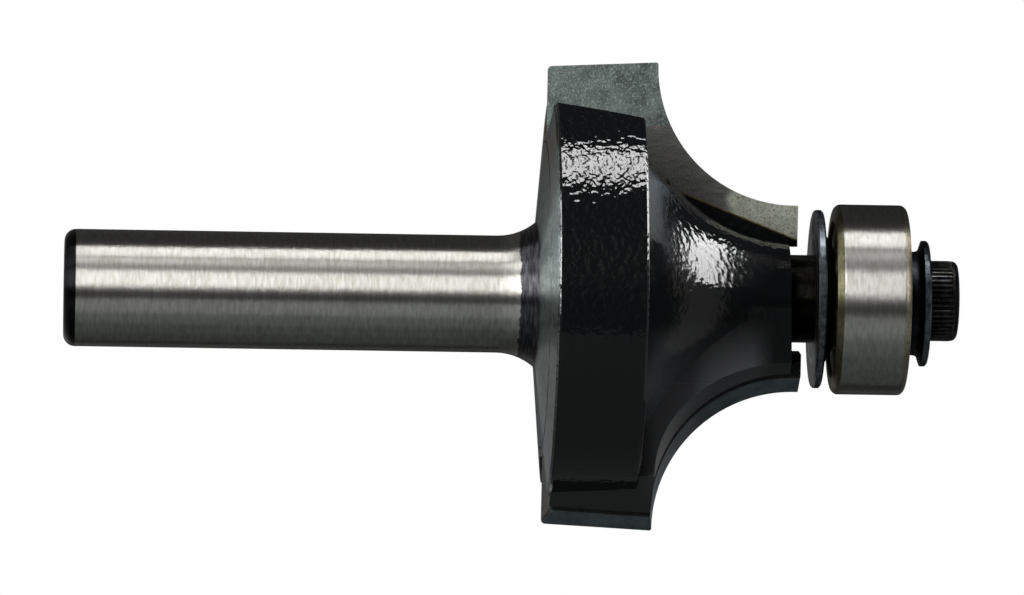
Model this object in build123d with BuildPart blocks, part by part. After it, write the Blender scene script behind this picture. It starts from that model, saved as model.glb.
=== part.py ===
from build123d import *
import math
import os

# A two-flute rounding-over router bit with a pilot bearing.
# The tool axis is Z: the shank end stands at z = 0 and the nose points up.
# The two cutting wings lie along +X and -X, half a turn apart, and each rake face is parallel to
# the XZ plane. The tool cuts as it turns clockwise seen from the shank. Lengths are millimetres.

# ---------------------------------------------------------------- driving dimensions
# Shank
shank_diameter = 8.0
shank_length = 32.15
shank_end_radius = 0.8
neck_fillet = 4.0
neck_root_radius = 5.0

# Turned head
shoulder_diameter = 28.0
shoulder_length = 6.08
shoulder_edge = 0.15
rear_cone_rise = 0.85
rear_rim_chamfer = 0.25
turned_groove_radius = 10.5
turned_groove_width = 0.16
turned_groove_depth = 0.12
nose_root_radius = 11.58
nose_tip_radius = 3.72
nose_length = 10.35
nose_arc_radius = 12.1

# Arbor that carries the bearing
arbor_shoulder_diameter = 6.0
arbor_shoulder_length = 1.7
arbor_clearance = 0.01
arbor_setback = 0.3
tapped_hole_diameter = 2.5
tapped_hole_depth = 8.4

# Cutting profile
profile_radius = 9.5
pilot_undercut = 0.05
cutting_radius = 16.0
rear_cutting_radius = 15.62
hook_angle = 6.0

# Carbide plates and their braze
tip_thickness = 2.2
tip_rear_overhang = 0.22
tip_nose_overhang = 0.72
nose_land = 0.3
tip_inner_rear = 10.7
tip_inner_nose = 3.9
tip_rear_corner = 0.3
tip_front_corner = 0.15
radial_relief = 1.34
axial_relief = 0.25
rear_relief = 0.6
braze_gap = 0.1

# Steel that backs each plate
rib_rear_setback = 0.2
rib_step = 0.12
rib_relief_slope = 0.8
rib_back_distance = 3.9
rib_back_slope = 0.33
seat_ledge = 0.4

# Gullet in the shoulder, in front of each plate
gullet_radius = 6.8
gullet_margin = 0.25
gullet_rear_angle = 14.9
gullet_front_angle = 24.6
cut_overrun = 2.0

# Pilot bearing
bearing_bore = 4.0
bearing_diameter = 13.0
bearing_width = 5.0
ring_corner = 0.5
bore_corner = 0.2
ball_count = 7
ball_diameter = 2.381
race_clearance = 0.02
race_shoulder = 0.35
cage_width = 0.8
cage_thickness = 0.2
pocket_clearance = 0.05
rivet_diameter = 0.4
rivet_hole_clearance = 0.02
rivet_head_diameter = 0.62
rivet_head_height = 0.1
seal_thickness = 0.35
seal_recess = 0.25
seal_seat_depth = 0.3
seal_fit = 0.01
seal_lip_clearance = 0.12

# Washers
rear_washer_diameter = 12.2
rear_washer_rim = 0.58
rear_boss_root_diameter = 9.7
washer_contact_diameter = 7.1
rear_boss_height = 0.75
washer_edge = 0.12
washer_bore_clearance = 0.06
front_hub_height = 0.96
front_washer_diameter = 8.6
front_washer_rim = 0.55
front_hub_fillet = 0.4
front_bore_clearance = 0.25
front_washer_drop = 0.2

# Cap screw
screw_thread_diameter = 3.0
screw_core_diameter = 2.39
screw_reach = 8.0
head_diameter = 5.5
head_height = 2.06
head_edge_radius = 0.5
socket_across_flats = 2.0
socket_depth = 1.2

# ---------------------------------------------------------------- stations along the axis
shank_radius = shank_diameter / 2
shoulder_radius = shoulder_diameter / 2
rear_rim = shank_length + rear_cone_rise
shoulder_front = rear_rim + shoulder_length
core_front = shoulder_front + nose_length
tip_end = core_front + tip_nose_overhang
tip_rear = rear_rim - tip_rear_overhang
rib_rear = rear_rim + rib_rear_setback
arbor_shoulder_end = core_front + arbor_shoulder_length
bearing_rear = arbor_shoulder_end + rear_washer_rim + rear_boss_height
bearing_middle = bearing_rear + bearing_width / 2
bearing_front = bearing_rear + bearing_width
arbor_end = bearing_front - arbor_setback
screw_seat = bearing_front + front_hub_height + front_washer_rim
head_top = screw_seat + head_height

# ---------------------------------------------------------------- the rake plane
# A point of a rake face is written as (height along the axis, distance out along the plane).
# The plane passes behind the axis, so that the edge leads it by the hook angle.
rake_offset = cutting_radius * math.sin(math.radians(hook_angle))
pilot_edge_radius = bearing_diameter / 2 - pilot_undercut


def across(radius):
    """Distance out along the rake plane at which the tool has this radius."""
    return math.sqrt(radius**2 - rake_offset**2)


arc_height = tip_end - nose_land
arc_out = across(pilot_edge_radius) + profile_radius


def inner_edge(height):
    """Distance out of the plate's straight inner edge at this height."""
    share = (height - tip_rear) / (tip_end - tip_rear)
    return tip_inner_rear + share * (tip_inner_nose - tip_inner_rear)


def behind_rake(distance):
    """A sketch plane parallel to the +X wing's rake face: its x is the height, its y points out."""
    return Plane(origin=(0, -rake_offset - distance, 0), x_dir=(0, 0, 1), z_dir=(0, 1, 0))


def cutting_line(rear, front, drop, axial_drop):
    """The points of the cutting profile from the rear to the nose, sunk by a relief."""
    centre = arc_height - axial_drop
    side_out = across(cutting_radius)
    start_height = centre - math.sqrt(profile_radius**2 - (side_out - arc_out) ** 2)
    end_drop = math.sqrt(profile_radius**2 - max(0.0, centre - front) ** 2)
    diagonal = profile_radius * math.sqrt(0.5)
    return {
        "rear": (rear, across(rear_cutting_radius) - drop),
        "start": (start_height, side_out - drop),
        "middle": (centre - diagonal, arc_out - drop - diagonal),
        "end": (min(centre, front), arc_out - drop - end_drop),
        "nose": (front, arc_out - drop - profile_radius),
    }


def tip_outline(rear, drop, axial_drop):
    """A plate's outline: the face's with no relief, the back's with the ground reliefs."""
    cut = cutting_line(rear, tip_end, drop, axial_drop)
    with BuildLine() as outline:
        Line((rear, inner_edge(rear)), cut["rear"])
        Line(cut["rear"], cut["start"])
        ThreePointArc(cut["start"], cut["middle"], cut["end"])
        Line(cut["end"], cut["nose"])
        Line(cut["nose"], (tip_end, inner_edge(tip_end)))
        Line((tip_end, inner_edge(tip_end)), (rear, inner_edge(rear)))
        fillet(outline.vertices().sort_by_distance(cut["rear"])[0], tip_rear_corner)
        fillet(outline.vertices().sort_by_distance(cut["start"])[0], tip_front_corner)
    return outline.edges()


# ---------------------------------------------------------------- carbide plates
# A ground plate: its face is the cutting outline and its back is sunk, so each edge is relieved.
with BuildPart() as plate_blank:
    with BuildSketch(behind_rake(0)):
        make_face(tip_outline(tip_rear, 0, 0))
    with BuildSketch(behind_rake(tip_thickness)):
        make_face(tip_outline(tip_rear + rear_relief, radial_relief, axial_relief))
    loft(ruled=True)

# ---------------------------------------------------------------- braze
# A film of brazing alloy behind the plate and under its inner edge.
with BuildPart() as braze_film:
    with BuildSketch(behind_rake(tip_thickness)):
        make_face(tip_outline(tip_rear + rear_relief, radial_relief, axial_relief))
    extrude(amount=-braze_gap)
    with BuildSketch(behind_rake(0)):
        film_rear = tip_rear + rear_relief
        with BuildLine():
            Polyline(
                (film_rear, inner_edge(film_rear)),
                (tip_end, inner_edge(tip_end)),
                (tip_end, inner_edge(tip_end) - braze_gap),
                (film_rear, inner_edge(film_rear) - braze_gap),
                close=True,
            )
        make_face()
    extrude(amount=-tip_thickness - braze_gap)

# ---------------------------------------------------------------- steel behind each plate
seat_depth = tip_thickness + braze_gap
rib_reach = shoulder_radius / 2
rib_far_drop = radial_relief + rib_step + rib_relief_slope * (rib_reach - seat_depth)


def rib_outline(drop):
    """A rib's outline: it follows the cutting profile, sunk by the drop."""
    cut = cutting_line(rib_rear, core_front, drop, axial_relief)
    with BuildLine() as outline:
        Line((rib_rear, -1), cut["rear"])
        Line(cut["rear"], cut["start"])
        ThreePointArc(cut["start"], cut["middle"], cut["end"])
        Line(cut["end"], (core_front, -1))
        Line((core_front, -1), (rib_rear, -1))
    return outline.edges()


# The rib is relieved like the plate, and a slanted back runs it out into the turned nose.
with BuildPart() as rib:
    with BuildSketch(behind_rake(seat_depth)):
        make_face(rib_outline(radial_relief + rib_step))
    with BuildSketch(behind_rake(rib_reach)):
        make_face(rib_outline(rib_far_drop))
    loft(ruled=True)
    with BuildSketch(Plane.XY.offset(rib_rear)):
        with BuildLine():
            Polyline(
                (-1, 0),
                (cutting_radius, 0),
                (cutting_radius, -rib_back_distance - rib_back_slope * cutting_radius),
                (-1, -rib_back_distance + rib_back_slope),
                close=True,
            )
        make_face()
    extrude(amount=core_front - rib_rear, mode=Mode.INTERSECT)

# The web under the plate ends in a thin ledge that runs on to the plate's nose.
with BuildPart() as seat_web:
    with BuildSketch(behind_rake(0)):
        ledge_top = inner_edge(tip_end) - braze_gap
        with BuildLine():
            Polyline(
                (rib_rear, 0),
                (rib_rear, inner_edge(rib_rear) - braze_gap),
                (tip_end, ledge_top),
                (tip_end, ledge_top - seat_ledge),
                (core_front, ledge_top - seat_ledge),
                (core_front, 0),
                close=True,
            )
        make_face()
    extrude(amount=-seat_depth)

# The milled seat takes the plate and its braze.
seat_reach = cutting_radius + cut_overrun
with BuildPart() as seat_pocket:
    with BuildSketch(behind_rake(seat_depth)):
        pocket_rear = rear_rim - cut_overrun
        pocket_front = tip_end + cut_overrun
        with BuildLine():
            Polyline(
                (pocket_rear, inner_edge(pocket_rear) - braze_gap),
                (pocket_front, inner_edge(pocket_front) - braze_gap),
                (pocket_front, seat_reach),
                (pocket_rear, seat_reach),
                close=True,
            )
        make_face()
    extrude(amount=seat_depth)

# ---------------------------------------------------------------- gullets
gullet_rear = rear_rim - cut_overrun
gullet_front = shoulder_front + cut_overrun


def gullet_section(height):
    """The milled hollow's outline at this height: a concave floor from the plate to the rim."""
    share = (height - rear_rim) / shoulder_length
    angle = math.radians(gullet_rear_angle + share * (gullet_front_angle - gullet_rear_angle))
    foot = (inner_edge(height) + gullet_margin, -rake_offset)
    lip = (shoulder_radius * math.cos(angle), shoulder_radius * math.sin(angle))
    with BuildLine() as outline:
        RadiusArc(foot, lip, gullet_radius)
        Polyline(lip, (seat_reach, lip[1] + cut_overrun), (seat_reach, -rake_offset), foot)
    return outline.edges()


with BuildPart() as gullet:
    with BuildSketch(Plane.XY.offset(gullet_rear)):
        make_face(gullet_section(gullet_rear))
    with BuildSketch(Plane.XY.offset(gullet_front)):
        make_face(gullet_section(gullet_front))
    loft(ruled=True)

# ---------------------------------------------------------------- cutter body
# Shank, neck, head and arbor are turned from one bar. The profile lies in the XZ plane.
neck_run = math.sqrt(neck_fillet**2 - (shank_radius + neck_fillet - neck_root_radius) ** 2)
cone_slope = rear_cone_rise / (shoulder_radius - neck_root_radius)
arbor_radius = bearing_bore / 2 - arbor_clearance

with BuildPart() as cutter_body:
    with BuildSketch(Plane.XZ):
        with BuildLine():
            shank_end = Line((0, 0), (shank_radius - shank_end_radius, 0))
            JernArc(shank_end @ 1, (1, 0), shank_end_radius, 90)
            neck_start = (shank_radius, shank_length - neck_run)
            neck_end = (neck_root_radius, shank_length)
            Line((shank_radius, shank_end_radius), neck_start)
            RadiusArc(neck_start, neck_end, neck_fillet)
            rim_inner = (
                shoulder_radius - rear_rim_chamfer,
                rear_rim - cone_slope * rear_rim_chamfer,
            )
            Polyline(
                neck_end,
                rim_inner,
                (shoulder_radius, rear_rim + rear_rim_chamfer),
                (shoulder_radius, shoulder_front - shoulder_edge),
                (shoulder_radius - shoulder_edge, shoulder_front),
                (nose_root_radius, shoulder_front),
            )
            RadiusArc(
                (nose_root_radius, shoulder_front),
                (nose_tip_radius, core_front),
                nose_arc_radius,
            )
            Polyline(
                (nose_tip_radius, core_front),
                (arbor_shoulder_diameter / 2, core_front),
                (arbor_shoulder_diameter / 2, arbor_shoulder_end),
                (arbor_radius, arbor_shoulder_end),
                (arbor_radius, arbor_end),
                (0, arbor_end),
                (0, 0),
            )
        make_face()
    revolve(axis=Axis.Z)
    with PolarLocations(0, 2):
        add(gullet.part, mode=Mode.SUBTRACT)
    with PolarLocations(0, 2):
        add(rib.part)
    with PolarLocations(0, 2):
        add(seat_web.part)
    with PolarLocations(0, 2):
        add(seat_pocket.part, mode=Mode.SUBTRACT)
    with BuildSketch(Plane.XZ):
        groove_height = shank_length + cone_slope * (turned_groove_radius - neck_root_radius)
        with Locations((turned_groove_radius, groove_height)):
            Rectangle(turned_groove_width, 2 * turned_groove_depth)
    revolve(axis=Axis.Z, mode=Mode.SUBTRACT)
    with BuildSketch(Plane.XY.offset(arbor_end)):
        Circle(tapped_hole_diameter / 2)
    extrude(amount=-tapped_hole_depth, mode=Mode.SUBTRACT)

# ---------------------------------------------------------------- washers
with BuildPart() as rear_washer:
    with BuildSketch(Plane.XZ):
        bore = arbor_radius + washer_bore_clearance
        rim = rear_washer_diameter / 2
        base = arbor_shoulder_end
        with BuildLine():
            Polyline(
                (bore, base),
                (rim - washer_edge, base),
                (rim, base + washer_edge),
                (rim, base + rear_washer_rim - washer_edge),
                (rim - washer_edge, base + rear_washer_rim),
                (rear_boss_root_diameter / 2, base + rear_washer_rim),
                (washer_contact_diameter / 2, bearing_rear),
                (bore, bearing_rear),
                close=True,
            )
        make_face()
    revolve(axis=Axis.Z)

# The front washer was clamped off centre, by what its bore allows.
with BuildPart() as front_washer:
    with BuildSketch(Plane.XZ):
        bore = screw_thread_diameter / 2 + front_bore_clearance
        hub = washer_contact_diameter / 2
        rim = front_washer_diameter / 2
        shelf = bearing_front + front_hub_height
        with BuildLine():
            Polyline((bore, screw_seat), (bore, bearing_front), (hub, bearing_front))
            Line((hub, bearing_front), (hub, shelf - front_hub_fillet))
            JernArc((hub, shelf - front_hub_fillet), (0, 1), front_hub_fillet, -90)
            Polyline(
                (hub + front_hub_fillet, shelf),
                (rim, shelf + washer_edge),
                (rim, screw_seat - washer_edge),
                (rim - washer_edge, screw_seat),
                (bore, screw_seat),
            )
        make_face()
    revolve(axis=Axis.Z)

# ---------------------------------------------------------------- pilot bearing
pitch_radius = (bearing_bore + bearing_diameter) / 4
ball_radius = ball_diameter / 2
groove_radius = ball_radius + race_clearance
inner_land_radius = pitch_radius - ball_radius + race_shoulder
outer_land_radius = pitch_radius + ball_radius - race_shoulder
seal_seat_radius = outer_land_radius + seal_seat_depth
seal_seat_height = bearing_width / 2 - seal_recess - seal_thickness


def section_plane(height):
    """A plane through the axis: x is the radius and y is the distance above this height."""
    return Plane(origin=(0, 0, height), x_dir=(1, 0, 0), z_dir=(0, -1, 0))


with BuildPart() as inner_ring:
    with BuildSketch(section_plane(bearing_middle)):
        with Locations(((bearing_bore / 2 + inner_land_radius) / 2, 0)):
            Rectangle(inner_land_radius - bearing_bore / 2, bearing_width)
        bore_side = vertices().filter_by_position(Axis.X, 0, bearing_bore / 2 + bore_corner)
        chamfer(bore_side, bore_corner)
        with Locations((pitch_radius, 0)):
            Circle(groove_radius, mode=Mode.SUBTRACT)
    revolve(axis=Axis.Z)

with BuildPart() as outer_ring:
    with BuildSketch(section_plane(bearing_middle)):
        with Locations(((bearing_diameter / 2 + outer_land_radius) / 2, 0)):
            Rectangle(bearing_diameter / 2 - outer_land_radius, bearing_width)
        rim_side = vertices().filter_by_position(
            Axis.X, bearing_diameter / 2 - ring_corner, bearing_diameter / 2 + ring_corner
        )
        fillet(rim_side, ring_corner)
        seat_height = bearing_width / 2 - seal_seat_height
        for side in (-1, 1):
            with Locations((outer_land_radius, side * (bearing_width / 2 - seat_height / 2))):
                Rectangle(2 * seal_seat_depth, seat_height, mode=Mode.SUBTRACT)
        with Locations((pitch_radius, 0)):
            Circle(groove_radius, mode=Mode.SUBTRACT)
    revolve(axis=Axis.Z)


# A seal is a flat ring, pressed into the outer ring, that clears the inner ring.
seal_lip_radius = inner_land_radius + seal_lip_clearance
seal_rim_radius = seal_seat_radius - seal_fit

with BuildPart() as rear_seal:
    with BuildSketch(Plane.XY.offset(bearing_middle - seal_seat_height)):
        Circle(seal_rim_radius)
        Circle(seal_lip_radius, mode=Mode.SUBTRACT)
    extrude(amount=-seal_thickness)

with BuildPart() as front_seal:
    with BuildSketch(Plane.XY.offset(bearing_middle + seal_seat_height)):
        Circle(seal_rim_radius)
        Circle(seal_lip_radius, mode=Mode.SUBTRACT)
    extrude(amount=seal_thickness)

# The balls stand evenly on the pitch circle, with a cage rivet midway between each pair.
ball_step = 360 / ball_count
first_ball = ball_step / 4
first_rivet = first_ball + ball_step / 2
balls = []
for number in range(ball_count):
    angle = math.radians(first_ball + number * ball_step)
    place = (pitch_radius * math.cos(angle), pitch_radius * math.sin(angle), bearing_middle)
    with BuildPart() as ball:
        with Locations(place):
            Sphere(ball_radius)
    balls.append(ball)

# Each half of the ribbon cage is a pressed ring with a half pocket round every ball.
pocket_radius = ball_radius + pocket_clearance
rivet_hole_radius = rivet_diameter / 2 + rivet_hole_clearance
with BuildPart() as cage_front:
    with Locations((0, 0, bearing_middle)):
        with PolarLocations(pitch_radius, ball_count, start_angle=first_ball):
            Cylinder(pocket_radius + cage_thickness, cage_width, rotation=(0, 90, 0))
    split(bisect_by=Plane.XY.offset(bearing_middle), keep=Keep.TOP)
    with BuildSketch(Plane.XY.offset(bearing_middle)):
        Circle(pitch_radius + cage_width / 2)
        Circle(pitch_radius - cage_width / 2, mode=Mode.SUBTRACT)
    extrude(amount=cage_thickness)
    with Locations((0, 0, bearing_middle)):
        with PolarLocations(pitch_radius, ball_count, start_angle=first_ball):
            Cylinder(pocket_radius, 2 * cage_width, rotation=(0, 90, 0), mode=Mode.SUBTRACT)
        with PolarLocations(pitch_radius, ball_count, start_angle=first_rivet):
            Cylinder(rivet_hole_radius, 4 * cage_thickness, mode=Mode.SUBTRACT)

with BuildPart() as cage_rear:
    add(mirror(cage_front.part, about=Plane.XY.offset(bearing_middle), mode=Mode.PRIVATE))

with BuildPart() as cage_rivets:
    with Locations((0, 0, bearing_middle)):
        with PolarLocations(pitch_radius, ball_count, start_angle=first_rivet):
            Cylinder(rivet_diameter / 2, 2 * cage_thickness + 2 * rivet_head_height)
    for side in (-1, 1):
        head_middle = bearing_middle + side * (cage_thickness + rivet_head_height / 2)
        with Locations((0, 0, head_middle)):
            with PolarLocations(pitch_radius, ball_count, start_angle=first_rivet):
                Cylinder(rivet_head_diameter / 2, rivet_head_height)

# ---------------------------------------------------------------- cap screw
# The thread is drawn at its outer diameter in the washer and at its core in the tapped hole.
head_radius = head_diameter / 2
with BuildPart() as cap_screw:
    with BuildSketch(Plane.XZ):
        screw_end = screw_seat - screw_reach
        thread_radius = screw_thread_diameter / 2
        core_radius = screw_core_diameter / 2
        with BuildLine():
            Polyline(
                (0, head_top),
                (0, screw_end),
                (core_radius, screw_end),
                (core_radius, arbor_end + arbor_clearance),
                (thread_radius, arbor_end + arbor_clearance),
                (thread_radius, screw_seat),
                (head_radius, screw_seat),
                (head_radius, head_top - head_edge_radius),
            )
            JernArc((head_radius, head_top - head_edge_radius), (0, 1), head_edge_radius, 90)
            Line((head_radius - head_edge_radius, head_top), (0, head_top))
        make_face()
    revolve(axis=Axis.Z)
    with BuildSketch(Plane.XY.offset(head_top)):
        RegularPolygon(socket_across_flats / 2, 6, major_radius=False)
    extrude(amount=-socket_depth, mode=Mode.SUBTRACT)


# ---------------------------------------------------------------- export
def half_turn(part):
    """The same piece on the opposite wing."""
    return part.rotate(Axis.Z, 180)


pieces = {
    "cutter_body": cutter_body.part,
    "carbide_tip_a": plate_blank.part,
    "carbide_tip_b": half_turn(plate_blank.part),
    "braze_a": braze_film.part,
    "braze_b": half_turn(braze_film.part),
    "rear_washer": rear_washer.part,
    "inner_ring": inner_ring.part,
    "outer_ring": outer_ring.part,
    "rear_seal": rear_seal.part,
    "front_seal": front_seal.part,
    "cage_rear": cage_rear.part,
    "cage_front": cage_front.part,
    "cage_rivets": cage_rivets.part,
    "front_washer": front_washer.part.moved(Location((front_washer_drop, 0, 0))),
    "cap_screw": cap_screw.part,
}
for number, ball in enumerate(balls):
    pieces[f"ball_{number + 1}"] = ball.part

os.makedirs("parts", exist_ok=True)
for name, part in pieces.items():
    part.label = name
    export_step(part, f"parts/{name}.step")
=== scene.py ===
# %% [markdown]
# # A rounding-over router bit, dressed in Blender
# The solids of this cutter come in finished and in their place, so the lesson is about surface:
# ground steel, blasted carbide, glossy black enamel on turned steel, black oxide, and a small
# ball bearing. Each step below adds one finish or one fine piece, and says why it was made so.

# %% Load the frame
import functools
import math

import bmesh
import bpy
from mathutils import Matrix, Vector


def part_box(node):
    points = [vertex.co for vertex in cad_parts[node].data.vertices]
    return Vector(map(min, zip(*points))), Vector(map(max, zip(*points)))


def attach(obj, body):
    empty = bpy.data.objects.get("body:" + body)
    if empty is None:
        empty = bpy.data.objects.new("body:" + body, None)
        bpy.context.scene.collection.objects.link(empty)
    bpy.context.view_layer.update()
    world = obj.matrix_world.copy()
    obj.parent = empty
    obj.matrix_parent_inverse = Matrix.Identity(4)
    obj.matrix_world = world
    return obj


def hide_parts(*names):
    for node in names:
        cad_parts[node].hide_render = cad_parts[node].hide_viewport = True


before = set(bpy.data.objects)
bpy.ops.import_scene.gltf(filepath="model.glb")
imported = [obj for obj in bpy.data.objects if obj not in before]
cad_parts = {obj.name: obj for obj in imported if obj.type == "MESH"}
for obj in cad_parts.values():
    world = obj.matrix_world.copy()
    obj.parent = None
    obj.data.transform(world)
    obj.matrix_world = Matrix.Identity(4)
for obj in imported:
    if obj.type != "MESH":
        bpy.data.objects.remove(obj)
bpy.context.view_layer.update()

# %% [markdown]
# ## Colours and nodes
# Hex colours are what a maker's colour chart gives. The shaders work on linear light, so one
# function turns each hex value to linear. A second small function adds a node. It sets the
# node's choices, and fills each input either with a plain value or with a link.

# %% Helpers for colours and nodes
MM = 0.001


def colour(code):
    """A linear colour from an sRGB hex value."""
    parts = [int(code[i : i + 2], 16) / 255 for i in (0, 2, 4)]
    linear = [p / 12.92 if p <= 0.04045 else ((p + 0.055) / 1.055) ** 2.4 for p in parts]
    return (*linear, 1.0)


def fill(socket, content):
    """Gives an input a plain value, or a link if the content is a node or a socket."""
    if isinstance(content, bpy.types.Node):
        content = content.outputs[0]
    if isinstance(content, bpy.types.NodeSocket):
        socket.id_data.links.new(content, socket)
    else:
        socket.default_value = content


def node(tree, kind, inputs=None, **choices):
    """Adds a node with its choices, and fills its inputs by name or by number."""
    made = tree.nodes.new("ShaderNode" + kind)
    for name, choice in choices.items():
        setattr(made, name, choice)
    for key, content in (inputs or {}).items():
        fill(made.inputs[key], content)
    return made


def new_material(name):
    """A material with one principled shader, and the function that adds nodes to it."""
    material = bpy.data.materials.new(name)
    material.use_nodes = True
    material.node_tree.nodes.clear()
    add = functools.partial(node, material.node_tree)
    shader = add("BsdfPrincipled")
    add("OutputMaterial", {"Surface": shader})
    return material, shader, add


print("black enamel, linear:", [round(v, 4) for v in colour("0b0c0d")])

# %% [markdown]
# ## The camera
# A long lens looks square at the tool from its side. It is turned a quarter turn, so that the
# standing tool lies across the frame, and its nose end leans a little away from the lens.

# %% Camera
FRAME_WIDTH = 1024
FOCAL_PIXELS = 10400
SENSOR_MM = 36
DISTANCE = 0.71
TURN, RECEDE, ROLL = math.radians(6.0), math.radians(2.9), math.radians(0.9)
AIM = Vector((0.22, 0.0, 30.58)) * MM

level = Vector((-math.sin(TURN), -math.cos(TURN), 0))
backward = (level * math.cos(RECEDE) - Vector((0, 0, math.sin(RECEDE)))).normalized()
along = (Vector((0, 0, 1)) - backward * backward.z).normalized()
upward = backward.cross(along)
right = along * math.cos(ROLL) + upward * math.sin(ROLL)
up = upward * math.cos(ROLL) - along * math.sin(ROLL)

lens = bpy.data.cameras.new("camera")
lens.sensor_width = SENSOR_MM
lens.lens = FOCAL_PIXELS / FRAME_WIDTH * SENSOR_MM
lens.clip_start, lens.clip_end = 0.05, 10
camera = bpy.data.objects.new("camera", lens)
turned = Matrix((right, up, backward)).transposed().to_4x4()
camera.matrix_world = Matrix.Translation(AIM + backward * DISTANCE) @ turned
bpy.context.scene.collection.objects.link(camera)
bpy.context.scene.camera = camera
print("camera mm:", [round(v / MM, 1) for v in camera.location])

# %% [markdown]
# ## Backdrop and floor
# The backdrop is plain white to the lens and to gloss. It lights the tool only softly, so a
# lower strength goes to every other kind of ray. The floor is a small pale disc under the shank
# end. Its underside is clear, because the lens is set a little lower than the floor. It glows a
# little to the lens, so that it stays pale and still shows the tool's shadow, and gloss never
# shows it.

# %% White backdrop
scene = bpy.context.scene
scene.view_settings.view_transform = "Standard"
AMBIENT = 0.35

world = bpy.data.worlds.new("studio")
scene.world = world
world.use_nodes = True
world.node_tree.nodes.clear()
add = functools.partial(node, world.node_tree)
path = add("LightPath")
rays = [path.outputs[f"Is {kind} Ray"] for kind in ("Camera", "Glossy", "Transmission")]
seen = add("Math", {0: rays[0], 1: rays[1]}, operation="ADD")
seen = add("Math", {0: seen, 1: rays[2]}, operation="ADD", use_clamp=True)
strength = add("MapRange", {"Value": seen, "To Min": AMBIENT, "To Max": 1.0})
add("OutputWorld", {"Surface": add("Background", {"Strength": strength, "Color": (1, 1, 1, 1)})})
print("backdrop strength to the lens 1, to the tool", AMBIENT)

# %% Floor
FLOOR_RADIUS, FLOOR_LIFT = 0.055, 0.45
PROP_SIDES = 96


def bmesh_object(name, maker, material=None):
    """An object at the origin, with the mesh that the maker builds in a bmesh."""
    bm = bmesh.new()
    maker(bm)
    mesh = bpy.data.meshes.new(name)
    bm.to_mesh(mesh)
    bm.free()
    if material:
        mesh.materials.append(material)
    made = bpy.data.objects.new(name, mesh)
    scene.collection.objects.link(made)
    return made


def disc(bm, radius, height=0.0):
    """A round sheet across the tool axis."""
    place = Matrix.Translation((0, 0, height))
    bmesh.ops.create_circle(bm, cap_ends=True, segments=PROP_SIDES, radius=radius, matrix=place)


pale_paint, shader, add = new_material("matt pale paint")
fill(shader.inputs["Base Color"], colour("f4f4f2"))
fill(shader.inputs["Roughness"], 0.9)
fill(shader.inputs["Emission Color"], colour("f4f4f2"))
to_camera = add("LightPath").outputs["Is Camera Ray"]
to_lens = add("Math", {0: to_camera, 1: FLOOR_LIFT}, operation="MULTIPLY")
fill(shader.inputs["Emission Strength"], to_lens)
underside = add("NewGeometry").outputs["Backfacing"]
one_sided = add("MixShader", {0: underside, 1: shader, 2: add("BsdfTransparent")})
fill(pale_paint.node_tree.nodes["Material Output"].inputs["Surface"], one_sided)

floor = bmesh_object("floor", functools.partial(disc, radius=FLOOR_RADIUS), pale_paint)
floor.visible_glossy = False
floor.visible_shadow = False
print("floor radius mm:", FLOOR_RADIUS / MM)

# %% [markdown]
# ## A dark tent
# Polished steel and gloss enamel have no look of their own: they show what stands around them.
# So the tool stands in a tent of dark cloth, as it would for a catalogue, and every bright band
# on it is the mirror image of one lamp or card. The tent and the cards are props that only
# gloss can see. Directions are given by two angles. The first turns about the tool axis, from
# the lens towards the top of the frame. The second leans up from square to the nose.

# %% Directions round the tool
facing = Vector((level.x, level.y, 0))
rising = Vector((upward.x, upward.y, 0)).normalized()
# Where this is 1, a spin about +Z goes from the lens towards the top of the frame.
SENSE = 1 if facing.cross(rising).z > 0 else -1


def direction(turn, lean=0.0):
    """The direction at this turn about the tool axis and this lean to the nose, in degrees."""
    turn, lean = math.radians(turn), math.radians(lean)
    flat = facing * math.cos(turn) + rising * math.sin(turn)
    return flat * math.cos(lean) + Vector((0, 0, math.sin(lean)))


print("top of the frame lies towards:", [round(v, 3) for v in direction(90)])

# %% Makers of props
STEP_DEGREES = 4


def glow(name, code):
    """A surface that glows evenly, for props alone."""
    material = bpy.data.materials.new(name)
    material.use_nodes = True
    material.node_tree.nodes.clear()
    add = functools.partial(node, material.node_tree)
    add("OutputMaterial", {"Surface": add("Emission", {"Color": colour(code)})})
    return material


def prop(name, maker, material):
    """A part of the studio that only gloss sees."""
    made = bmesh_object(name, maker, material)
    made.visible_camera = False
    made.visible_diffuse = False
    made.visible_shadow = False
    return made


def bent_card(bm, start, end, low, high, radius):
    """A card bent about the tool axis, between two turns and two heights."""
    foot = direction(start) * radius
    corners = [bm.verts.new((foot.x, foot.y, z)) for z in (low, high)]
    edge = bm.edges.new(corners)
    steps = max(2, round(abs(end - start) / STEP_DEGREES))
    sweep = SENSE * math.radians(end - start)
    around = {"axis": (0, 0, 1), "cent": (0, 0, 0), "angle": sweep, "steps": steps}
    bmesh.ops.spin(bm, geom=[edge, *corners], **around)


print("a card has an edge every", STEP_DEGREES, "degrees")

# %% [markdown]
# The tent's wall is in two heights. Enamel seen at a low angle mirrors what is behind the tool
# almost fully, so the upper wall and the roof are black. A grey card under the roof lets the
# socket and the washers show from above. The bent cards are in two heights as well. Those that
# hang below the tool's foot are shown by ground steel alone, because its grinding lines stretch
# a reflection along the axis. The one above them is what the enamel's lower side mirrors.

# %% Tent
TENT_RADIUS, TENT_BASE, TENT_TOP = 0.72, -0.9, 0.55
WALL_SPLIT = 0.02
ROOF_CARD_RADIUS, ROOF_CARD_DROP = 0.30, 0.01

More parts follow.
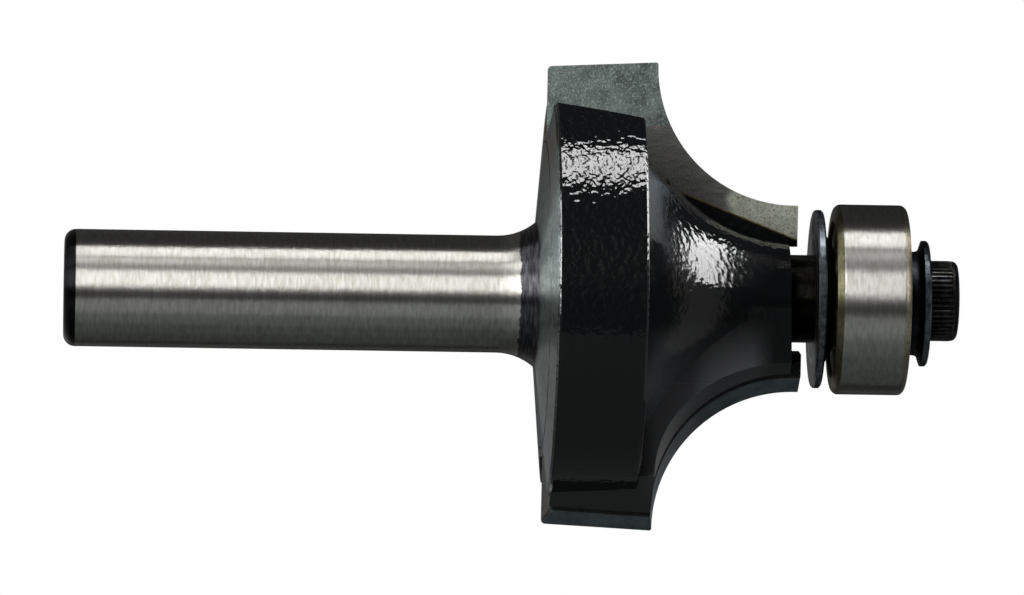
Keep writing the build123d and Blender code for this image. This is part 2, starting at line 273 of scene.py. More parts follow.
dark_cloth = glow("dark cloth", "585857")
black_cloth = glow("black cloth", "1c1c1d")
grey_card = glow("roof card", "858584")
wall = functools.partial(bent_card, start=0, end=360, radius=TENT_RADIUS)
prop("tent_wall", functools.partial(wall, low=TENT_BASE, high=WALL_SPLIT), dark_cloth)
prop("tent_wall_top", functools.partial(wall, low=WALL_SPLIT, high=TENT_TOP), black_cloth)
prop("tent_roof", functools.partial(disc, radius=TENT_RADIUS, height=TENT_TOP), black_cloth)
under_roof = functools.partial(disc, radius=ROOF_CARD_RADIUS, height=TENT_TOP - ROOF_CARD_DROP)
prop("roof_card", under_roof, grey_card)
prop("tent_floor", functools.partial(disc, radius=TENT_RADIUS, height=TENT_BASE), dark_cloth)
print("tent mm:", TENT_RADIUS / MM, "radius,", round((TENT_TOP - TENT_BASE) / MM), "high")

# %% Cards
CARD_RADIUS, CARD_SPLIT, BACK_CARD_TOP = 0.62, -0.03, -0.14
# Each card: first turn and last turn in degrees, foot and top in metres, colour.
CARDS = {
    "lower_card_near": (-21, -50, TENT_BASE, CARD_SPLIT, "dde1e0"),
    "lower_card_middle": (-50, -75, TENT_BASE, CARD_SPLIT, "989d9c"),
    "lower_card_dim": (-75, -100, TENT_BASE, CARD_SPLIT, "676b6a"),
    "lower_card_far": (-100, -148, TENT_BASE, CARD_SPLIT, "404040"),
    "lower_card_top": (-21, -127, CARD_SPLIT, TENT_TOP, "5c6160"),
    "back_card": (170, 208, TENT_BASE, BACK_CARD_TOP, "d4d4d2"),
}
for name, (start, end, low, high, code) in CARDS.items():
    card = functools.partial(bent_card, start=start, end=end, low=low, high=high, radius=CARD_RADIUS)
    prop(name, card, glow(name, code))

# %% [markdown]
# ## Lamps
# The key lamp stands above the tool, short along its axis, and gives the bright band on the
# enamelled shoulder. Three lamps stand beyond the shank end, and give the bands on the shank and
# the ring. Only ground steel shows those, because grinding lines stretch a reflection along the
# axis, and the smooth enamel mirrors nothing from there. Three weak lamps behind the nose end
# lift the nose curve and the plates with a grey sheen. The nose key is small, oval and close. It
# gives the round highlight on the nose curve, and it lights the cutter's own pieces alone, so
# that the bearing beside it doesn't show it.

# %% Soft boxes
LAMP_DISTANCE = 0.5
HEAD = Vector((0, 0, 36)) * MM


def lamp_at(name, target, distance, turn, lean, across, tall, radiance, tint="ffffff", roll=0.0):
    """A flat lamp that faces its target. Its size is the angles that it fills, in degrees."""
    data = bpy.data.lights.new(name, "AREA")
    data.shape = "RECTANGLE"
    data.size = 2 * distance * math.tan(math.radians(across / 2))
    data.size_y = 2 * distance * math.tan(math.radians(tall / 2))
    data.color = colour(tint)[:3]
    data.energy = radiance * math.pi * data.size * data.size_y
    lamp = bpy.data.objects.new(name, data)
    away = direction(turn, lean)
    sideways = Vector((0, 0, 1)).cross(away).normalized()
    upright = away.cross(sideways)
    axes = Matrix((sideways, upright, away)).transposed()
    axes = axes @ Matrix.Rotation(math.radians(roll), 3, "Z")
    lamp.matrix_world = Matrix.Translation(target + away * distance) @ axes.to_4x4()
    lamp.visible_camera = False
    scene.collection.objects.link(lamp)
    return lamp


# Each lamp: turn and lean, width and height, all in degrees, then radiance and tint.
LAMPS = {
    "key": (78, 2, 23, 9, 15.5, "ffffff"),
    "shank_card": (21, -38, 29, 36, 8.7, "ffffff"),
    "shank_fill": (45, -38, 16, 36, 0.9, "ffffff"),
    "shank_lamp": (62, -38, 12, 36, 6.5, "ffffff"),
    "back_lamp": (168, 50, 20, 45, 0.5, "b4c4d0"),
    "back_low_lamp": (-172, 33, 24, 26, 0.2, "ffffff"),
    "back_low_haze": (-172, 33, 42, 44, 0.15, "ffffff"),
}
for name, settings in LAMPS.items():
    lamp_at(name, HEAD, LAMP_DISTANCE, *settings)
print("soft boxes:", ", ".join(LAMPS))

# %% Nose key
# Where the highlight lies: its turn in degrees, its distance from the axis and its height.
SPOT_TURN, SPOT_OUT, SPOT_HEIGHT = 25.4, 6.2, 43.04
NOSE_CURVE = direction(SPOT_TURN) * SPOT_OUT * MM + Vector((0, 0, SPOT_HEIGHT)) * MM
NOSE_KEY_DISTANCE, NOSE_KEY_ROLL = 0.0375, 42
NOSE_KEY = (91, 60.7, 55, 21, 13)

nose_key = lamp_at("nose_key", NOSE_CURVE, NOSE_KEY_DISTANCE, *NOSE_KEY, roll=NOSE_KEY_ROLL)
nose_key.data.shape = "ELLIPSE"
# An ellipse has a smaller face than its rectangle, so it needs less energy to be as bright.
nose_key.data.energy *= math.pi / 4

lit_by_nose_key = bpy.data.collections.new("lit by the nose key")
for name in ("cutter_body", "carbide_tip_a", "carbide_tip_b", "braze_a", "braze_b"):
    lit_by_nose_key.objects.link(bpy.data.objects[name])
nose_key.light_linking.receiver_collection = lit_by_nose_key

# %% [markdown]
# ## Finishes in layers
# One bar of steel carries several finishes: ground, blackened, bare and enamelled. A finish is a
# colour, how metallic it is and how rough. Where a piece has one finish all over, plain numbers
# go straight to the shader. Where it has more, each is laid over the last by a mask, and a mask
# comes from the place on the tool: its height, its distance from the axis, the way it faces.

# %% Places on a piece
PER_METRE = 1000


def places(add):
    """The place on the piece in millimetres, and the way the surface faces."""
    where = add("TexCoord")
    mm = add("VectorMath", {0: where.outputs["Object"], "Scale": PER_METRE}, operation="SCALE")
    parts = add("SeparateXYZ", {0: mm})
    flat = add("VectorMath", {0: mm, 1: (1, 1, 0)}, operation="MULTIPLY")
    facing_parts = add("SeparateXYZ", {0: where.outputs["Normal"]})
    return {
        "mm": mm,
        "x": parts.outputs["X"],
        "y": parts.outputs["Y"],
        "z": parts.outputs["Z"],
        "from_axis": add("VectorMath", {0: flat}, operation="LENGTH").outputs["Value"],
        "wing": add("Math", {0: parts.outputs["X"]}, operation="ABSOLUTE"),
        "depth": add("Math", {0: parts.outputs["Y"]}, operation="ABSOLUTE"),
        "flat_face": add("Math", {0: facing_parts.outputs["Y"]}, operation="ABSOLUTE"),
        "end_face": add("Math", {0: facing_parts.outputs["Z"]}, operation="ABSOLUTE"),
    }


print("a place in metres is multiplied by", PER_METRE)

# %% Patterns and masks
FAR = 99.0


def mottle(add, at, size, stretch=(1, 1, 1), detail=3.0, rough=0.55):
    """Cloudy grains of this size in millimetres. A stretch over 1 makes them narrower that way."""
    put = add("Mapping", {"Vector": at["mm"], "Scale": [s / size for s in stretch]})
    return add("TexNoise", {"Vector": put, "Scale": 1.0, "Detail": detail, "Roughness": rough})


def between(add, value, low=-FAR, high=FAR, soft=0.1, wander=None, reach=0.0):
    """A mask that is 1 between two values, with soft edges that a pattern can make wander."""
    if wander is not None:
        sway = add("Math", {0: wander, 1: 0.5}, operation="SUBTRACT")
        value = add("Math", {0: sway, 1: 2 * reach, 2: value}, operation="MULTIPLY_ADD")
    rise = add("MapRange", {"Value": value, "From Min": low - soft / 2, "From Max": low + soft / 2})
    drop = add("MapRange", {"Value": value, "From Min": high + soft / 2, "From Max": high - soft / 2})
    return add("Math", {0: rise, 1: drop}, operation="MULTIPLY")


def both(add, *masks):
    """Where all the masks are 1."""
    made = masks[0]
    for mask in masks[1:]:
        made = add("Math", {0: made, 1: mask}, operation="MULTIPLY")
    return made


print("a mask with no limit on one side runs to", FAR, "mm")

# %% Layers of finish
# The mix node keeps its kinds apart: the kind, its first and second input, and its output.
COLOUR_MIX = ("RGBA", 6, 7, 2)
NUMBER_MIX = ("FLOAT", 2, 3, 0)


def two_tone(add, pattern, first, second, low=0.35, high=0.65):
    """One colour where the pattern is low and another where it is high."""
    kind, under, over, out = COLOUR_MIX
    share = add("MapRange", {"Value": pattern, "From Min": low, "From Max": high})
    mixed = add("Mix", {0: share, under: colour(first), over: colour(second)}, data_type=kind)
    return mixed.outputs[out]


def lay(add, below, mask, above):
    """Lays the finish above on the one below, where the mask is 1."""
    made = dict(below)
    for key, content in above.items():
        kind, under, over, out = COLOUR_MIX if key == "Base Color" else NUMBER_MIX
        mixed = add("Mix", {0: mask, under: below[key], over: content}, data_type=kind)
        made[key] = mixed.outputs[out]
    return made


print("mix inputs for colours:", COLOUR_MIX[1:3], "for numbers:", NUMBER_MIX[1:3])

# %% Dressing a piece
QUARTER_TURN = 0.25


def dress(shader, add, finish, relief=None, depth=0.0, grain=0.0):
    """Gives the shader a finish, a relief of this depth in millimetres, and turning grain."""
    for key, content in finish.items():
        fill(shader.inputs[key], content)
    if relief is not None:
        fill(shader.inputs["Normal"], add("Bump", {"Height": relief, "Distance": depth * MM}))
    if grain:
        # The grain runs round the axis, so the gloss is stretched a quarter turn from it. Its
        # direction is turned from the piece to the world, so that it goes round with the ring.
        where = add("TexCoord").outputs["Object"]
        around = add("VectorMath", {0: where, 1: (0, 0, 1)}, operation="CROSS_PRODUCT")
        turned = add("VectorTransform", {0: around}, convert_from="OBJECT", convert_to="WORLD")
        fill(shader.inputs["Tangent"], turned)
        fill(shader.inputs["Anisotropic"], grain)
        fill(shader.inputs["Anisotropic Rotation"], QUARTER_TURN)


def give(material, *names):
    """Puts a material on CAD pieces."""
    for name in names:
        slots = bpy.data.objects[name].data.materials
        slots.clear()
        slots.append(material)
    print(material.name, "->", ", ".join(names))


print("gloss is stretched across the grain by a turn of", QUARTER_TURN)

# %% [markdown]
# ## The cutter's steel
# The bar is turned, blackened all over in a hot salt bath, and then ground bright where it has
# to fit a collet. So the end and the neck keep their black, with a ragged line where the wheel
# stopped. To the eye, ground steel is satin with crisp bands along it, because fine lines round
# the bar blur a reflection along its length alone. The blackened coat is dull and streaked.

# %% Ground and blackened bar
SHANK_LENGTH, CONE_RISE, SHOULDER_LENGTH, NOSE_LENGTH = 32.15, 0.85, 6.08, 10.35
REAR_RIM = SHANK_LENGTH + CONE_RISE
SHOULDER_FRONT = REAR_RIM + SHOULDER_LENGTH
END_BLACK, GROUND_END = 0.78, 30.95

cutter_steel, shader, add = new_material("ground and enamelled tool steel")
at = places(add)
# Grinding lines are a few hundredths of a millimetre apart. They are drawn at 0.2 mm, to show.
wheel_lines = mottle(add, at, 0.9, stretch=(1, 1, 4.5))
ground = {
    "Base Color": two_tone(add, wheel_lines, "a6a39b", "bab9b5"),
    "Metallic": 1.0,
    "Roughness": 0.36,
}
# Turning lines follow the feed of the tool, 0.13 mm a turn.
turning = mottle(add, at, 1.2, stretch=(1, 1, 9), detail=4, rough=0.65)
black_coat = two_tone(add, turning, "3a3a3d", "77777c", low=0.42, high=0.75)
blackened = {"Base Color": black_coat, "Roughness": 0.42}
ragged = mottle(add, at, 0.7, stretch=(1, 1, 0.3), detail=4)
black_end = between(add, at["z"], high=END_BLACK, soft=0.06)
black_neck = between(add, at["z"], GROUND_END, REAR_RIM + 1, soft=0.08, wander=ragged, reach=0.3)
steel = lay(add, ground, black_end, {**blackened, "Base Color": colour("1d1d1f")})
steel = lay(add, steel, black_neck, blackened)
print("ground from", END_BLACK, "to", GROUND_END, "mm")

# %% [markdown]
# The rear of the head is faced bare on the lathe after the brazing, so its lines lie at one
# distance from the axis. It shows as a dull grey-green, with dark pits and the straw and violet
# tints of the brazing heat. Each tint is a bent band, at one distance from the seat.

# %% Faced rear of the head
NECK_ROOT, REAR_FACE_START, ENAMEL_EDGE = 5.3, 31.0, 0.1
TINT_BEND, STRAW_BAND, VIOLET_BAND = 0.03, (-11.0, -9.2), (7.6, 9.4)

# Facing lines are about 0.1 mm apart. A coarser set at 0.4 mm is added, so that they show.
face_lines = mottle(add, at, 1.1, stretch=(2.5, 2.5, 1), detail=5, rough=0.7)
fine_lines = mottle(add, at, 0.3, stretch=(1, 3, 1), rough=0.7)
face_tone = add("Math", {0: face_lines, 1: fine_lines}, operation="ADD")
face_colour = two_tone(add, face_tone, "444b4b", "8a9492", low=0.75, high=1.25)
rear_face = both(
    add,
    between(add, at["z"], REAR_FACE_START, REAR_RIM + ENAMEL_EDGE, soft=0.04),
    between(add, at["from_axis"], low=NECK_ROOT + 0.4, soft=0.6, wander=ragged, reach=0.6),
)
steel = lay(add, steel, rear_face, {"Base Color": face_colour, "Roughness": 0.38})

drift = mottle(add, at, 2.5, detail=2)
bend = add("Math", {0: at["y"], 1: at["y"]}, operation="MULTIPLY")
toward_a = add("Math", {0: bend, 1: -TINT_BEND, 2: at["x"]}, operation="MULTIPLY_ADD")
toward_b = add("Math", {0: bend, 1: TINT_BEND, 2: at["x"]}, operation="MULTIPLY_ADD")
straw_tint_and_painted_olive = between(add, toward_b, *STRAW_BAND, soft=1.2, wander=drift, reach=1.6)
violet = between(add, toward_a, *VIOLET_BAND, soft=1.2, wander=drift, reach=1.3)
pits = between(add, mottle(add, at, 0.22, detail=2), low=0.66, soft=0.04)
for mark, code in ((straw_tint_and_painted_olive, "746a55"), (violet, "5c6184"), (pits, "262829")):
    steel = lay(add, steel, both(add, rear_face, mark), {"Base Color": colour(code)})
print("faced from", NECK_ROOT, "mm out to the rim")

# %% [markdown]
# The head is sprayed with a gloss black enamel, which is deep and mirrors like glass. It is worn
# or faced off to bare steel in a thin line on both edges of the shoulder. That line is laid on the
# upper side alone, so there it is partly a painted highlight. A dull grey on the lower side of the
# nose curve is a painted reflection, of the grey that the curve mirrors there. The arbor has no
# enamel, so it is duller.

# %% Enamel and its edges
SHOULDER_RADIUS, EDGE_HALF = 14.0, 0.02
REFLECTION_SIDE, REFLECTION_HEIGHT = (3.4, 12), (SHOULDER_FRONT + 0.4, 47.5)
ARBOR_START = SHOULDER_FRONT + NOSE_LENGTH + 0.04

enamelled = between(add, at["z"], low=REAR_RIM + ENAMEL_EDGE, soft=0.04)
enamel = {"Base Color": colour("0b0c0d"), "Metallic": 0.0, "Roughness": 0.1}
steel = lay(add, steel, enamelled, enamel)

chips = mottle(add, at, 0.3)
rim = between(add, at["from_axis"], SHOULDER_RADIUS - 0.2, SHOULDER_RADIUS + 0.1, soft=0.03)
front_line = (SHOULDER_FRONT - EDGE_HALF, SHOULDER_FRONT + EDGE_HALF)
# The bare edge lines are laid on the upper side alone, towards the key lamp, so they are partly a
# painted highlight.
front_edge_highlight = both(
    add,
    between(add, at["z"], *front_line, soft=0.03, wander=chips, reach=0.05),
    rim,
    between(add, at["x"], high=-0.3, soft=2.5),
    between(add, chips, low=0.44, soft=0.1),
)
rear_line = (REAR_RIM + ENAMEL_EDGE, REAR_RIM + ENAMEL_EDGE + 4 * EDGE_HALF)
rear_edge_highlight = both(
    add,
    between(add, at["z"], *rear_line, soft=0.03, wander=chips, reach=0.06),
    rim,
    between(add, at["x"], -8, -0.3, soft=0.6),
    between(add, chips, low=0.42, soft=0.1),
)
bare_and_highlit = {"Base Color": colour("6a6c6d"), "Metallic": 1.0, "Roughness": 0.4}
steel = lay(add, steel, front_edge_highlight, bare_and_highlit)
steel = lay(add, steel, rear_edge_highlight, {**bare_and_highlit, "Base Color": colour("b9babb")})

# A dull grey painted reflection on the lower side of the nose curve, below its highlight.
lower_side = between(add, at["x"], *REFLECTION_SIDE, soft=5)
painted_grey_reflection = both(add, lower_side, between(add, at["z"], *REFLECTION_HEIGHT, soft=1.5))
steel = lay(add, steel, painted_grey_reflection, {"Base Color": colour("323335"), "Roughness": 0.3})

arbor = between(add, at["z"], low=ARBOR_START, soft=0.05)
arbor_black = two_tone(add, turning, "0c0c0b", "1d1c18")
steel = lay(add, steel, arbor, {"Base Color": arbor_black, "Metallic": 1.0, "Roughness": 0.5})
print("enamelled from", REAR_RIM + ENAMEL_EDGE, "to", round(ARBOR_START, 2), "mm")

# %% [markdown]
# Sprayed enamel dries with a ripple like the skin of an orange, here about half a millimetre
# wide. It breaks the highlights up. It is stronger on the side that dried on top, and calm in
# the corner where the nose curve meets the shoulder. The bare steel has its grinding lines.

# %% Ripple and grain
RIPPLE_MM, RIPPLE_DEPTH = 0.46, 0.066
CALM_SIDE, ROUGH_SIDE, CALM_SHARE = 2.0, -4.0, 0.25
CORNER_END, CORNER_CALM, LINE_SHARE = 40.8, 0.8, 0.3

ripple = mottle(add, at, RIPPLE_MM, detail=1.0, rough=0.5)
across = {"Value": at["x"], "From Min": CALM_SIDE, "From Max": ROUGH_SIDE}
top_side = add("MapRange", {**across, "To Min": CALM_SHARE, "To Max": 1.0})
corner = between(add, at["z"], low=SHOULDER_FRONT - 0.03, soft=0.02)
corner = both(add, corner, between(add, at["z"], high=CORNER_END, soft=1.0))
off_corner = add("Math", {0: corner, 1: -CORNER_CALM, 2: 1.0}, operation="MULTIPLY_ADD")
ripple = both(add, ripple, top_side, enamelled, off_corner)
off_enamel = add("Math", {0: enamelled, 1: -LINE_SHARE, 2: LINE_SHARE}, operation="MULTIPLY_ADD")
relief = add("Math", {0: ripple, 1: both(add, off_enamel, wheel_lines)}, operation="ADD")
dress(shader, add, steel, relief, RIPPLE_DEPTH, grain=1.0)
give(cutter_steel, "cutter_body")

# %% [markdown]
# ## Tungsten carbide
# The plates are sintered carbide: grey, very hard, and blasted after brazing, which leaves a
# matt mottled skin with pale specks and small pits. A fine wheel has gone over part of the rake
# face, and left it darker and smoother. The relief lands behind the edge are ground dark blue.

# %% Carbide plates
WHEEL_REACH, WHEEL_END, PLATE_BACK = 11.55, 45.3, 3.6
REAR_END_TOP, FACES_ASIDE = 34, 0.7

carbide, shader, add = new_material("blasted tungsten carbide")
at = places(add)
clouds = mottle(add, at, 1.3, detail=5, rough=0.7)
# The craters of blasting are under 0.1 mm and the wheel's scratches are finer still. They are
# drawn at 0.17 and 0.2 mm, to show.
specks = mottle(add, at, 0.17, rough=0.65)
scratches = mottle(add, at, 1.0, stretch=(5, 1, 1))
skin = {
    "Base Color": two_tone(add, clouds, "5b6463", "8a9490"),
    "Metallic": 1.0,
    "Roughness": 0.58,
}
skin = lay(add, skin, between(add, specks, low=0.60, soft=0.16), {"Base Color": colour("a9b3ad")})
nose_part = between(add, at["z"], low=WHEEL_END, soft=0.9, wander=clouds, reach=0.8)
skin = lay(add, skin, nose_part, {"Base Color": two_tone(add, clouds, "9fa49a", "cdd0c2")})
nose_pits = both(add, nose_part, between(add, specks, high=0.41, soft=0.14))
skin = lay(add, skin, nose_pits, {"Base Color": colour("857e69")})
wheeled = both(
    add,
    between(add, at["wing"], high=WHEEL_REACH, soft=0.15, wander=clouds, reach=0.1),
    between(add, at["z"], high=WHEEL_END, soft=0.9, wander=clouds, reach=0.8),
)
wheel_grey = two_tone(add, scratches, "6f6f6e", "807e7b")
skin = lay(add, skin, wheeled, {"Base Color": wheel_grey, "Roughness": 0.52})
land = between(add, at["flat_face"], high=FACES_ASIDE, soft=0.02)
land_blue = two_tone(add, clouds, "6c797e", "919ca0")
skin = lay(add, skin, land, {"Base Color": land_blue, "Roughness": 0.46})
rear_end = both(
    add,
    between(add, at["end_face"], low=FACES_ASIDE),
    between(add, at["z"], high=REAR_END_TOP),
)
skin = lay(add, skin, rear_end, {"Base Color": two_tone(add, clouds, "262422", "413e39")})
back = between(add, at["depth"], low=PLATE_BACK)
skin = lay(add, skin, back, {"Base Color": two_tone(add, clouds, "2f3132", "454844")})
dress(shader, add, skin, specks, depth=0.03)
give(carbide, "carbide_tip_a", "carbide_tip_b")

# %% [markdown]
# ## Braze
# Silver brazing alloy has a brass colour and sets in soft lumps. It shows as a fine line along
# each plate's inner edge. Behind the plate the enamel has run over it, so there it is black.

# %% Brazing alloy
braze_alloy, shader, add = new_material("silver brazing alloy")
at = places(add)
lumps = mottle(add, at, 0.4)
covered = between(add, at["depth"], low=PLATE_BACK, wander=lumps, reach=0.1)
brass = two_tone(add, lumps, "6c6038", "9c8a58")
alloy = {"Base Color": brass, "Metallic": 1.0, "Roughness": 0.42}
over_braze = {"Base Color": colour("0c0d0e"), "Metallic": 0.0, "Roughness": 0.2}
dress(shader, add, lay(add, alloy, covered, over_braze), lumps, depth=0.03)
give(braze_alloy, "braze_a", "braze_b")

# %% [markdown]
# ## Bearing
# The outer ring is ground round its rim, so it has the shank's crisp bands. Its rounded corners
# are tumbled and only dulled. Their olive tint, palest at the front, is a painted reflection.

# %% Bearing rings
RIM_HALF = 2.1
ring_low, ring_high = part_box("outer_ring")
BEARING_MIDDLE = (ring_low.z + ring_high.z) / 2 / MM

ring_steel, shader, add = new_material("ground bearing steel")
at = places(add)
# These lines are drawn at 0.2 mm too, and the tumbling marks at 0.3 mm. Both are finer really.
wheel_lines = mottle(add, at, 0.8, stretch=(1, 1, 4))
tumbled = mottle(add, at, 0.3, detail=4)
bright = two_tone(add, wheel_lines, "a6a49d", "bab9b6")
ring = {"Base Color": bright, "Metallic": 1.0, "Roughness": 0.36}
middle = add("Math", {0: at["z"], 1: BEARING_MIDDLE}, operation="SUBTRACT")
off_middle = add("Math", {0: middle}, operation="ABSOLUTE")
corners = between(add, off_middle, low=RIM_HALF, soft=0.05)
# The corners' olive, and the paler front corners below, are a painted reflection.
straw_tint_and_painted_olive = two_tone(add, tumbled, "66634b", "807c62")
ring = lay(add, ring, corners, {"Base Color": straw_tint_and_painted_olive, "Roughness": 0.5})
front_corners = both(add, corners, between(add, middle, low=0))
ring = lay(add, ring, front_corners, {"Base Color": two_tone(add, tumbled, "b0a58f", "d6cbb6")})
dress(shader, add, ring, wheel_lines, depth=0.014, grain=1.0)
give(ring_steel, "outer_ring", "inner_ring")

# %% [markdown]
# Inside, the balls are lapped to a mirror, with the faintest haze. The cage is pressed from
# rolled strip, and keeps the satin of the rolls. The seals are moulded rubber, matt and black,
# with a grey bloom.

# %% Balls, cage and seals
ball_steel, shader, add = new_material("lapped ball steel")
lapped = two_tone(add, mottle(add, places(add), 0.5), "c2c2c2", "cfcfce")
dress(shader, add, {"Base Color": lapped, "Metallic": 1.0, "Roughness": 0.07})
give(ball_steel, *[f"ball_{i}" for i in range(1, 8)])

cage_steel, shader, add = new_material("pressed cage steel")
# Roll marks are a few hundredths of a millimetre wide. They are drawn at 0.18 mm, to show.
rolled = mottle(add, places(add), 0.35, stretch=(1, 1, 2))
strip = two_tone(add, rolled, "8f8f8b", "a8a8a3")
dress(shader, add, {"Base Color": strip, "Metallic": 1.0, "Roughness": 0.35}, rolled, depth=0.01)
give(cage_steel, "cage_rear", "cage_front", "cage_rivets")

seal_rubber, shader, add = new_material("nitrile rubber")
bloom = mottle(add, places(add), 0.4)
matt = two_tone(add, bloom, "0d0d0e", "171718")
dress(shader, add, {"Base Color": matt, "Metallic": 0.0, "Roughness": 0.6}, bloom, depth=0.01)
give(seal_rubber, "rear_seal", "front_seal")

# %% [markdown]
# ## Black oxide
# The washers and the screw are steel blackened in hot salts. The coat is thin, so rims and
# ridges rub through first. Their lighter blue-grey is also a painted highlight, the sheen they catch.

# %% Washers
# Each rim, rubbed and with a painted highlight: its radius and its width in millimetres, and its dark
# and light colours.
REAR_RIM_HIGHLIGHT_AND_WEAR = (6.1, 0.16, "3d4249", "7b8189")
FRONT_RIM_HIGHLIGHT_AND_WEAR = (4.3, 0.16, "3d4249", "7b8189")
SCREW_RIDGE_HIGHLIGHT_AND_WEAR = (2.75, 0.06, "2f2e2c", "605e5b")

black_oxide, shader, add = new_material("black oxide on steel")
at = places(add)
worn = mottle(add, at, 0.5, detail=5, rough=0.7)
coat = two_tone(add, worn, "1c1d20", "34373b")
oxide = {"Base Color": coat, "Metallic": 1.0, "Roughness": 0.4}
for rim, width, dark, light in (REAR_RIM_HIGHLIGHT_AND_WEAR, FRONT_RIM_HIGHLIGHT_AND_WEAR, SCREW_RIDGE_HIGHLIGHT_AND_WEAR):
    band = (rim - width, rim + 0.2)
    # Rims and knurl ridges are painted lighter: a painted highlight where the coat is also rubbed
    # through.
    rubbed_and_highlit = between(add, at["from_axis"], *band, soft=0.06, wander=worn, reach=width / 2)
    oxide = lay(add, oxide, rubbed_and_highlit, {"Base Color": two_tone(add, worn, dark, light), "Roughness": 0.36})
dress(shader, add, oxide, worn, depth=0.02)
give(black_oxide, "rear_washer", "front_washer", "cap_screw")

# %% [markdown]
# ## The cap screw
# The head is knurled so that fingers can start it, then chased smooth at its front. The solid
# has a plain head, so a finer one stands for it here. A ring of points is drawn out into the
# head, four points to a ridge, and the hollow points of each ridge are pulled in. The socket is
# six-sided, and the stem under the head carries a thread, wound on as one long ridge.

# %% Sizes of the screw
SCREW_SEAT, SCREW_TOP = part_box("front_washer")[1].z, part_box("cap_screw")[1].z
HEAD_RADIUS, PLAIN_RADIUS = 2.75 * MM, 2.73 * MM
RIDGES, KNURL_DEPTH = 48, 0.13 * MM
# The points between these two shares of a ridge are its hollow.
HOLLOW_START, HOLLOW_END = 0.4, 0.9
SEAT_BREAK, SEAT_RISE = 0.08 * MM, 0.05 * MM
COLLAR, RUN_IN, KNURL_END, RUN_OUT = 0.15 * MM, 0.03 * MM, 1.50 * MM, 0.12 * MM
HEAD_ROUND, ROUND_STEPS = 0.42 * MM, 5
SOCKET_FLATS, SOCKET_DEPTH = 2.0 * MM, 1.2 * MM
STEM_RADIUS, STEM_LENGTH = 1.195 * MM, 8.0 * MM
print("head mm:", round((SCREW_TOP - SCREW_SEAT) / MM, 2), "high,", RIDGES, "ridges")

# %% Helpers for the screw
TURN_OF_RING = 0.3 / RIDGES


def points_and_edges(made):
    """The new points and the new edges that an operator made."""
    points = [part for part in made["geom"] if isinstance(part, bmesh.types.BMVert)]
    edges = [part for part in made["geom"] if isinstance(part, bmesh.types.BMEdge)]
    return points, edges


def ring_up(bm, ring, height, radius, hollow):
    """Draws the ring on to this height and radius, and pulls the hollow points of each ridge in."""
    points, edges = points_and_edges(bmesh.ops.extrude_edge_only(bm, edges=ring))
    for point in points:
        angle = math.atan2(point.co.y, point.co.x)
        phase = (angle / (2 * math.pi) * RIDGES) % 1.0
        reach = radius - (hollow if HOLLOW_START < phase < HOLLOW_END else 0.0)
        point.co = Vector((math.cos(angle) * reach, math.sin(angle) * reach, height))
    return edges


def sink(bm, ring, depth):
    """Draws a closed ring of edges down by this depth, and closes it with a flat face."""
    points, edges = points_and_edges(bmesh.ops.extrude_edge_only(bm, edges=ring))
    bmesh.ops.translate(bm, verts=points, vec=(0, 0, -depth))
    bmesh.ops.contextual_create(bm, geom=edges)


def edges_of(points):
    """The edges that meet at these points."""
    return list({edge for point in points for edge in point.link_edges})


print("the ring of points is turned by", round(math.degrees(TURN_OF_RING), 2), "degrees")

# %% Knurled head, socket and stem
HEAD_STEPS = [
    (0, PLAIN_RADIUS - SEAT_BREAK, 0),
    (SEAT_RISE, PLAIN_RADIUS, 0),
    (COLLAR, PLAIN_RADIUS, 0),
    (COLLAR + RUN_IN, HEAD_RADIUS, KNURL_DEPTH),
    (KNURL_END, HEAD_RADIUS, KNURL_DEPTH),
    (KNURL_END + RUN_OUT, PLAIN_RADIUS, 0),
]


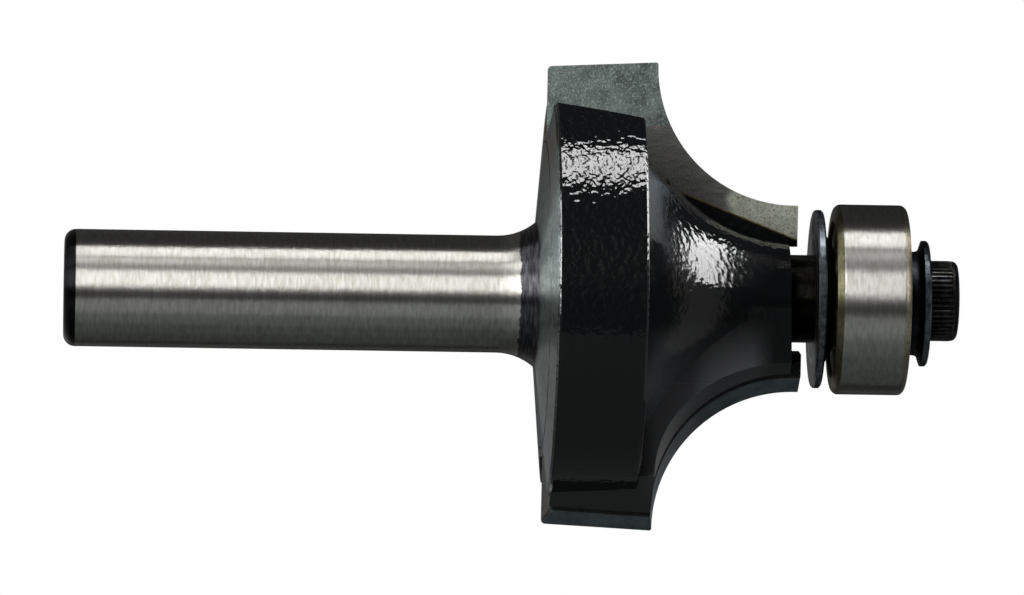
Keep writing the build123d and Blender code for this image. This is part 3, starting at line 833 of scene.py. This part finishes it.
def screw_shape(bm):
    """The head from its seat up, the socket, and the stem."""
    place = Matrix.Translation((0, 0, SCREW_SEAT)) @ Matrix.Rotation(TURN_OF_RING, 4, "Z")
    start = bmesh.ops.create_circle(bm, segments=4 * RIDGES, radius=STEM_RADIUS, matrix=place)
    stem_ring = edges_of(start["verts"])
    ring = stem_ring
    for rise, radius, hollow in HEAD_STEPS:
        ring = ring_up(bm, ring, SCREW_SEAT + rise, radius, hollow)
    for step in range(1, ROUND_STEPS + 1):
        angle = step / ROUND_STEPS * math.pi / 2
        height = SCREW_TOP - HEAD_ROUND * (1 - math.sin(angle))
        ring = ring_up(bm, ring, height, PLAIN_RADIUS - HEAD_ROUND * (1 - math.cos(angle)), 0)

    corner = SOCKET_FLATS / math.sqrt(3)
    top = Matrix.Translation((0, 0, SCREW_TOP))
    hexagon = bmesh.ops.create_circle(bm, segments=6, radius=corner, matrix=top)
    sides = edges_of(hexagon["verts"])
    bmesh.ops.triangle_fill(bm, use_beauty=True, edges=ring + sides)
    sink(bm, sides, SOCKET_DEPTH)
    sink(bm, stem_ring, STEM_LENGTH)
    bmesh.ops.remove_doubles(bm, verts=bm.verts, dist=1e-7)
    bmesh.ops.recalc_face_normals(bm, faces=bm.faces)


screw = bmesh_object("knurled_cap_screw", screw_shape, black_oxide)
print(screw.name, "faces:", len(screw.data.polygons))

# %% [markdown]
# The thread is a small triangle that is spun round the stem and lifted by its pitch at each
# turn. It starts one pitch above the tip. Most of it is hidden in the arbor.

# %% Thread
THREAD_RADIUS, THREAD_PITCH, RIDGE_HALF = 1.48 * MM, 0.5 * MM, 0.21 * MM
THREAD_TURNS, THREAD_STEPS = 14, 24
THREAD_ROOT = STEM_RADIUS - 0.05 * MM


def thread_shape(bm):
    """One ridge wound round the stem."""
    low = SCREW_SEAT - STEM_LENGTH + THREAD_PITCH
    corners = [(THREAD_ROOT, low - RIDGE_HALF), (THREAD_RADIUS, low), (THREAD_ROOT, low + RIDGE_HALF)]
    section = bm.faces.new([bm.verts.new((r, 0, z)) for r, z in corners])
    bmesh.ops.spin(
        bm,
        geom=[section],
        axis=(0, 0, 1),
        cent=(0, 0, 0),
        dvec=(0, 0, THREAD_PITCH / THREAD_STEPS),
        angle=2 * math.pi * THREAD_TURNS,
        steps=THREAD_STEPS * THREAD_TURNS,
        use_duplicate=False,
    )
    bmesh.ops.recalc_face_normals(bm, faces=bm.faces)


thread = bmesh_object("cap_screw_thread", thread_shape, black_oxide)
for piece in (screw, thread):
    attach(piece, "root")
    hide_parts("cap_screw")
print(thread.name, "faces:", len(thread.data.polygons))
